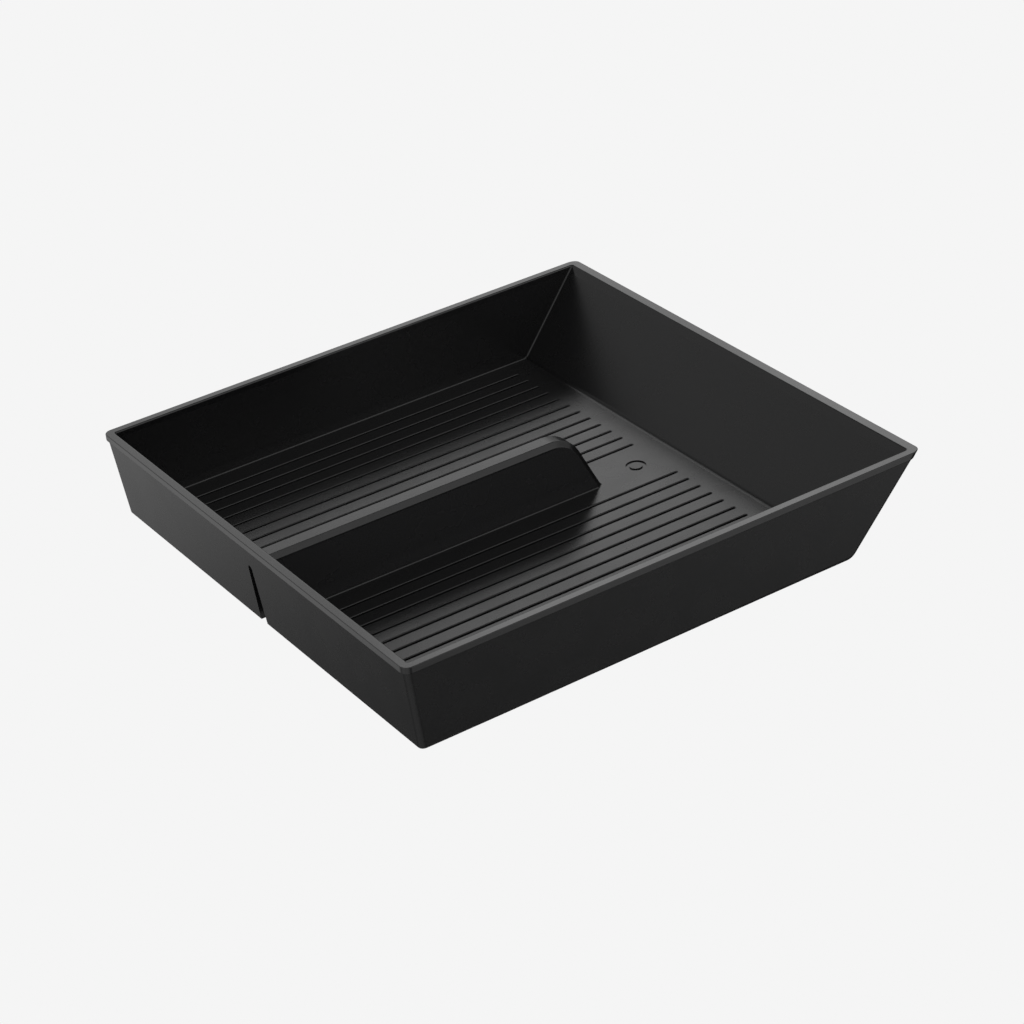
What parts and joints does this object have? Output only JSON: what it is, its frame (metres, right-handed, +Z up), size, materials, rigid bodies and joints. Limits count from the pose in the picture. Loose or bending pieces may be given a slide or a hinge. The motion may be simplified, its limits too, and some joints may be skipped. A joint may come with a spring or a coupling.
{
  "type": "organiser insert tray",
  "caption": "Shallow square drop-in tray with one flared wall, grooved floor and a hollow centre divider that slots over a panel.",
  "frame": {"origin": "under the centre of the rim, on the underside of the floor", "axes": "+Z up; +X from the slot wall towards the flared wall; +Y across the tray, square to the divider"},
  "size_m": [0.2405, 0.2406, 0.0386],
  "materials": {
    "tray_plastic": "black moulded plastic with a fine matte grain"
  },
  "bodies": {
    "root": {"tray_moulding": "tray_plastic"}
  },
  "joints": []
}
